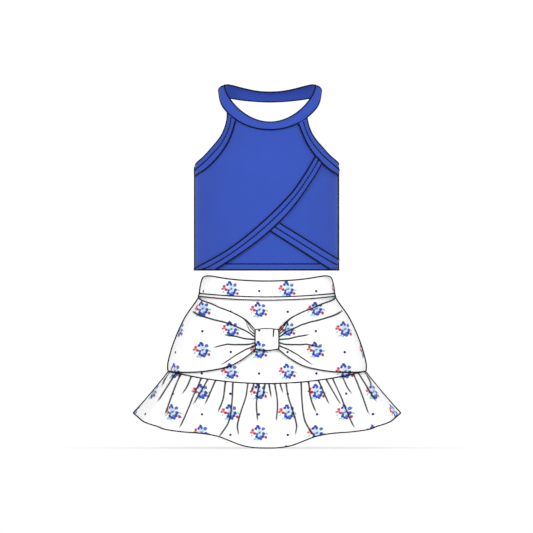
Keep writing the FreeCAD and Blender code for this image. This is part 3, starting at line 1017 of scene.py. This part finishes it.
def top_edges():
    front, back = torso(FRONT), torso(BACK)
    ends = [float((spot_on(torso_width, x, TOP_HEM)[0] + 90) / 180) for x in (-84, 103)]
    hem = stepped((0, over(3, SUNK)), (ends[0], SUNK), (ends[1], over(2, SUNK)))
    tubes = [cord(front, level(TOP_HEM), hem, count=300), cord(back, level(TOP_HEM), SUNK)]
    for form, layers, paths in (
            (back, 1, (back_neckline, round_at(neckline_height, -BINDING))),
            (front, 3, (wrap_low, wrap_high)), (front, 2, (under_low, under_high))):
        tubes += [cord(form, path, over(layers, SUNK)) for path in paths]
    for hand in HANDS:
        lift = binding_lift(hand)
        tubes += [cord(front, path(hand), lambda t: lift(t) + SUNK, start=0.012, end=0.975)
                  for path in (armhole_outer, armhole_inner)]
        tubes.append(cord(front, upright(hand, TOP_HEM, UNDERARM - 1),
                          float(lift(0.0)) + SUNK + PROUD))
    threads("top_edge_threads", "top_thread", tubes)

    for side, name, above, edges in (
            (FRONT, "top_collar_edge_threads", 0.3, (0.0, 1.0)),
            (BACK, "top_neck_strap_edge_threads", -0.65, (-0.02, 1.02))):
        tubes = [cord(collar(side), level(edge),
                      lambda t: collar_stand(side, -90 + 180 * t, edge) + above, count=260)
                 for edge in edges]
        if side == FRONT:
            tubes += [cord(collar(side), upright(hand, 0, 1),
                           lambda t: collar_stand(side, SIDE, t) + PROUD, count=40)
                      for hand in HANDS]
        threads(name, "top_thread", tubes)


# ---- the skirt

def cotton(name, form, spots, offset, *more, below=(), **sheet):
    """A piece of the skirt's cotton; the names of those that it rests on are not used."""
    if sheet:
        sheet["rests_on"] = ["skirt_%s_cloth" % each for each in below]
    return cloth("skirt_%s_cloth" % name, "floral_cotton", form, spots, offset, *more, **sheet)


def waist_top(turn):
    across = np.abs(sine(turn))
    return (WAIST_TOP_FRONT + (WAIST_TOP_SIDE - WAIST_TOP_FRONT) * across ** 2
            - 3.5 * across ** 24)


def waist_low(turn):
    return WAIST_LOW_FRONT + (WAIST_LOW_SIDE - WAIST_LOW_FRONT) * sine(turn) ** 2


def waist():
    across, up = grid(24, 160)
    spots = between(round_at(waist_low), round_at(waist_top))(across, up)
    gather = 0.25 * np.sin(spots[0] * 1.9) * np.sin(spots[0] * 3.1 + 1) * np.sin(np.pi * up)
    for side, name in SIDES.items():
        for layer, offset, below in (("waistband_", over(2) + gather, "yoke_"),
                                     ("waist_facing_", CLOTH, "waistband_")):
            cotton(layer + name, hips(side), spots, offset, below=[below + name],
                   flat=(0.33, 0.037), held="gathered")
        for row, above in (("upper", 1 + WAIST_STITCH_GAP), ("lower", 1)):
            node = "skirt_waist_stitches_%s_%s" % (row, name)
            threads(node + "_thread", "skirt_thread",
                    dashes(hips(side), round_at(waist_low, above), over(2) + 0.35,
                           pitch=3.0, length=3.4), node)
        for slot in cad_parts["skirt_waist_elastic_" + name].material_slots:
            slot.link = "OBJECT"
            slot.material = ELASTIC


def yoke():
    across, up = grid(70, 120)
    spots = between(round_at(seam_height), round_at(waist_low, -0.2))(across, up)
    for side, name in SIDES.items():
        x, _, z = np.moveaxis(hips(side)(*spots), -1, 0)
        ease = 0.5 * np.sin(x / 26 + 0.6) * np.sin(np.pi * up) * np.sin(z / 30)
        cotton("yoke_" + name, hips(side), spots, CLOTH + (ease if side == BACK else 0),
               below=["waistband_" + name], flat=(0.44, 0.145), held="draped", area=0.052)


def to_tier(points):
    """Turn and way down the ruffle of (x, z) points seen from the front."""
    x, z = np.array(points, float).T
    turn = np.degrees(np.arcsin(np.clip(x / 190, -1, 1)))
    for _ in range(12):
        down = (seam_height(turn) - z) / (seam_height(turn) - hem_height(turn))
        turn = np.degrees(np.arcsin(np.clip(x / ruffle_size(turn, down)[0], -0.9999, 0.9999)))
    return turn, np.clip(down, 0, 1)


# Gather lines of the ruffle's right half, as (x, z) points seen from the front, and whether
# each goes on as a fold down to the hem
GATHERS = (
    (False, (3.3, 105), (6.6, 85.8)),
    (True, (13, 105), (17.3, 75), (15.7, 47)),
    (False, (21.5, 105), (25.6, 93)),
    (True, (31.4, 106), (34.7, 85), (42.9, 60), (48.7, 37), (47, 24)),
    (True, (56, 108), (57.8, 75), (62.7, 45), (77.6, 20.6)),
    (False, (68.5, 108.5), (71.8, 81.7), (79.2, 61)),
    (True, (85, 110.5), (101.5, 74)),
    (False, (97.4, 112.5), (119.6, 74)),
    (True, (108, 114.7), (144.4, 35.5)),
    (False, (124.6, 117.5), (130.5, 102), (137, 91)),
    (True, (142, 121.5), (169, 57.8)),
    (False, (150, 123), (176.6, 78.4)),
    (False, (160, 125.5), (170.8, 104)),
)


def valley_beside(away, deep, narrow, rise, reach, wide):
    """A fold's valley, with the cloth swelling beside it."""
    return (deep * np.exp(-np.abs(away) / narrow)
            - rise * deep * bell((away - reach * narrow) / (wide * narrow)))


def ruffle_folds(turn, down):
    """How far the gathered tier stands out, in mm, and the painted shade along its gather lines:
    how dark each is.
    """
    width, depth = ruffle_size(turn, down)
    degree = np.radians(1)
    per_degree = degree * np.hypot(width * cosine(turn), depth * sine(turn))
    # width of the painted shade lines, kept even as seen from the front
    seen = degree * width * np.maximum(cosine(turn), 0.15)
    line = 1.5 * np.sqrt(per_degree / seen)
    stand = 1.6 * np.sin(np.pi * np.minimum(down * 1.3, 1)) + 0.0 * turn
    dark = np.zeros_like(stand)
    for long, *points in GATHERS:
        line_turn, line_down = to_tier(points)
        end = line_down[-1]
        slope = (line_turn[-1] - line_turn[-2]) / (line_down[-1] - line_down[-2])
        path = through(*zip(line_down, line_turn))(down)
        path = path + np.where(down > end, 0.5 * slope * (down - end), 0)
        fade = past((end - down) / 0.02)
        deep = (0.8 + 2.0 * np.minimum(down / 0.25, 1)) * fade
        for hand in HANDS:
            away = (turn - hand * path) * per_degree * hand
            stand = stand - valley_beside(away, deep, 2.0 + 3.0 * down, 0.55, 2.3, 1.7)
            if long:
                swell = 6.5 * down ** 1.5
                broad = 7.0 + 9.0 * down
                stand = stand - swell * bell(away / broad)
                stand = stand + 0.5 * swell * bell((away - 1.9 * broad) / broad)
            # painted shade along the bottom of each gather line
            dark = dark + FOLD_SHADE_STRENGTH * bell(away / line) * fade
    for _ in range(SMALL_GATHERS):
        place, reach, size = (random.uniform(*ends) for ends in ((-89, 89), (0.08, 0.24), (0.3, 1)))
        away = (turn - place * (1 + 0.10 * down)) * per_degree
        stand = stand - size * np.exp(-np.abs(away) / 1.8) * np.exp(-down / reach)
    edge = np.minimum(1, (90 - np.abs(turn)) / SIDE_CALM)
    return stand * edge, dark * np.minimum(1, down / 0.01)


def tiers():
    across, down = grid(52, 640, 0.0012)
    turn = -90 + 180 * across
    for side, name in SIDES.items():
        stand, dark = ruffle_folds(turn, down)
        form = ruffle(side)
        uv = np.stack([cloth_run(turn, *ruffle_size(turn, down)), form(turn, down)[..., 2]], -1)
        # each ruffle gets the painted shade of its gather lines together with the folds' depths
        cotton("ruffle_" + name, form, (turn, down), CLOTH, CLOTH, uv, dark, stand,
               below=["yoke_" + name], flat=(0.66, 0.11), held="gathered")


def height_through(end, *points):
    """Height against turn on the hips, through (x, z) points and on to the side seam."""
    return through(*((spot_on(hip_width, x, z)[0], z) for x, z in points), (90, end))


wing_high = height_through(247, (18.6, 192), (32, 207), (43, 214.5), (59.4, 222.7), (76, 229.3),
                           (92.4, 236.8))
wing_low = height_through(126.6, (18.6, 161), (29.7, 151.8), (43, 142.7), (59.4, 134.5),
                          (79, 129.5), (104, 125.6), (128.7, 124.2), (150, 124.6))
WING_START = float(spot_on(hip_width, KNOT_HALF_WIDTH - 0.6, 176.0)[0])


def wing_line(hand, edge):
    """An edge of a wing, from the knot to the side seam."""
    def at(t):
        turn = WING_START + (90 - WING_START) * t
        return hand * turn, edge(turn)
    return at


# Pleats of the bow's right wing, as (x, z) points seen from the front, each with its depth
PLEATS = (
    (((18.6, 188.5), (26, 196.5), (33, 206.5)), 2.2),
    (((18.6, 184.6), (28, 191.8), (34.5, 207.5)), 2.4),
    (((18.6, 180.7), (28, 187), (41, 194), (54.5, 200.5), (71, 206), (87.5, 210), (104, 215),
      (119.6, 222.8)), 3.4),
    (((18.6, 176.6), (34.7, 177.5), (49.5, 181.5), (65, 184)), 2.6),
    (((18.6, 171.4), (28, 168.5), (46, 168.3), (62.7, 169), (74, 166.7), (83, 164)), 3.2),
    (((18.6, 167.2), (33, 161), (51, 151), (71, 137.8)), 2.8),
)


def to_wing(points):
    """Across and up the wing of (x, z) points seen from the front."""
    x, z = np.array(points, float).T
    turn = spot_on(hip_width, x, z)[0]
    return ((turn - WING_START) / (90 - WING_START),
            (z - wing_low(turn)) / (wing_high(turn) - wing_low(turn)))


def bow():
    across, up = grid(150, 210, 0.003)
    low, high = wing_line(RIGHT, wing_low)(across)[1], wing_line(RIGHT, wing_high)(across)[1]
    bulge = (2 * up - 1) ** 2
    stand = (2.1 + 6.6 * (1 - across) ** 2.2 * (1 - 0.45 * bulge)
             + 2.4 * np.sin(np.pi * across) * (1 - bulge))
    dark = np.zeros_like(stand)
    for points, deep in PLEATS:
        line_across, line_up = to_wing(points)
        end = line_across[-1]
        away = (up - np.interp(across, line_across, line_up)) * (high - low)
        fade = past((end - across) / 0.012)
        valley = deep * fade * (1 - 0.75 * across / max(end, 0.05)).clip(0.2)
        stand = stand - valley_beside(away, valley, 1.2 + 5.5 * across, 0.5, 2.2, 1.5)
        # painted shade along the bottom of each pleat
        dark = dark + FOLD_SHADE_STRENGTH * bell(away / 1.1) * fade
    stand = np.maximum(stand, 2.0)
    for hand, name in HANDS.items():
        spots = between(wing_line(hand, wing_low), wing_line(hand, wing_high))(across, up)
        cotton("bow_wing_" + name, hips(FRONT), spots, stand, CLOTH, None, dark,
               below=["yoke_front", "bow_knot"], flat=(0.18, 0.12), held="gathered")


def knot_outline(across, up):
    wide = 2 * across - 1
    high = 194.0 - 2.0 * wide ** 2
    low = 158.9 + 2.6 * wide ** 2
    return spot_on(hip_width, (KNOT_HALF_WIDTH + 0.2) * wide, low + (high - low) * up)


def knot():
    across, up = grid(60, 60, 0.02)
    wide, tall = 2 * across - 1, 2 * up - 1
    stand = 12.6 * (1 - 0.22 * tall ** 6 - 0.2 * tall ** 2) * (1 - 0.12 * wide ** 6)
    away = (across - (0.79 - 0.07 * (1 - up))) * 2 * KNOT_HALF_WIDTH
    fade = past((up - 0.58) / 0.03)
    stand = stand - 1.1 * np.exp(-np.abs(away) / 1.6) * fade
    for place, deep in ((0.22, 0.7), (0.47, 0.8), (0.62, 0.5)):
        stand = stand - deep * bell((across - place) / 0.05) * np.abs(tall) ** 1.5
    # the knot also gets painted shade along the bottom of its fold
    piece = cotton("bow_knot", hips(FRONT), knot_outline(across, up), stand, stand - 2.2, None,
                   FOLD_SHADE_STRENGTH * bell(away / 1.05) * fade)
    return stand


def skirt_edges(knot_stand):
    front = hips(FRONT)
    tubes = []
    for side in SIDES:
        tubes += [cord(hips(side), round_at(waist_top), over(2, SUNK)),
                  cord(hips(side), round_at(seam_height), 0.9, count=300)]
    lift = stepped((0, 2.8 + PROUD), (0.79, over(2, SUNK) + PROUD))
    for hand in HANDS:
        tubes.append(cord(front, upright(hand, 127, WAIST_TOP_SIDE - 4), lift))
        tubes += [cord(front, wing_line(hand, edge), lambda t: 2.4 + 3.6 * (1 - t) ** 2.2,
                       count=240) for edge in (wing_high, wing_low)]
    threads("skirt_edge_threads", "skirt_thread", tubes)

    tubes = []
    turn, down = np.meshgrid(np.linspace(-90, 90, 700), (0.98, 0.99, 1.0))
    for side in SIDES:
        base = pushed(ruffle(side)(turn, down), ruffle_folds(turn, down)[0])
        normal = facing(base)
        tubes.append(tube((base + normal * SUNK)[-1], normal[-1]))
    tubes += [cord(ruffle(FRONT), upright(hand, 0, 1), SUNK + PROUD, count=40) for hand in HANDS]
    threads("skirt_ruffle_edge_threads", "skirt_thread", tubes)

    t = np.linspace(0, 1, 40)
    rims = ((t, 0 * t, knot_stand[0]), (t, 0 * t + 1, knot_stand[-1]),
            (0 * t, t, knot_stand[:, 0]), (0 * t + 1, t, knot_stand[:, -1]))
    threads("skirt_knot_edge_threads", "skirt_thread", [
        cord(front, lambda _: knot_outline(across, up),
             np.interp(t, np.linspace(0, 1, len(rim)), rim) + 0.2, count=len(t))
        for across, up, rim in rims])


# ---- stage

def stage():
    bpy.ops.mesh.primitive_plane_add(size=60, location=(0, 0, -0.0008))
    floor = bpy.context.object
    floor.name = "floor"
    material, board = new_material("pale floor")
    matt = board.shade({"Base Color": (0.9, 0.9, 0.9, 1), "Roughness": 0.9,
                        "Specular IOR Level": 0.1})
    place = board.add("ShaderNodeTexCoord").outputs["Object"]
    far = board.ramp(board.vector("LENGTH", place), 0.20, 0.42)
    glow = board.add("ShaderNodeEmission", {"Color": WHITE, "Strength": 1.0})
    seamless = board.add("ShaderNodeMixShader", {
        0: board.scaled(far, 0.4, 0.6), 1: matt, 2: glow.outputs[0]})
    board.fill(board.tree.nodes["Material Output"], {"Surface": seamless.outputs[0]})
    floor.data.materials.append(material)

    scene = bpy.context.scene
    world = bpy.data.worlds.new("studio")
    world.use_nodes = True
    board = Board(world.node_tree)
    seen = board.add("ShaderNodeLightPath").outputs["Is Camera Ray"]
    board.fill(board.tree.nodes["Background"],
               {"Color": WHITE, "Strength": board.scaled(seen, 0.46, 0.56)})
    scene.world = world

    for name, place, size, power in (("key", (-1.3, -2.5, 1.8), 1.3, 44),
                                     ("fill", (1.9, -2.2, 0.8), 1.6, 29),
                                     ("back", (0.4, 2.6, 1.8), 1.4, 20)):
        lamp = bpy.data.lights.new(name, "AREA")
        lamp.shape = "DISK"
        lamp.size = size
        lamp.energy = power
        holder = placed(name, lamp, place)
        direction = mathutils.Vector((0, 0, 0.3)) - mathutils.Vector(place)
        holder.rotation_mode = "QUATERNION"
        holder.rotation_quaternion = direction.to_track_quat("-Z", "Y")

    camera = bpy.data.cameras.new("camera")
    camera.type = "PERSP"
    camera.sensor_width = 36
    camera.lens = camera.sensor_width * CAMERA_DISTANCE / SEEN_WIDTH
    camera.clip_end = 200
    holder = placed("camera", camera, (-0.0008, -CAMERA_DISTANCE, 0.2987))
    holder.rotation_euler = (math.radians(90), 0, 0)
    scene.camera = holder
    scene.view_settings.view_transform = "Standard"


top_panels()
top_tapes()
collar_tapes()
top_stitching()
top_edges()
waist()
yoke()
tiers()
bow()
skirt_edges(knot())
stage()
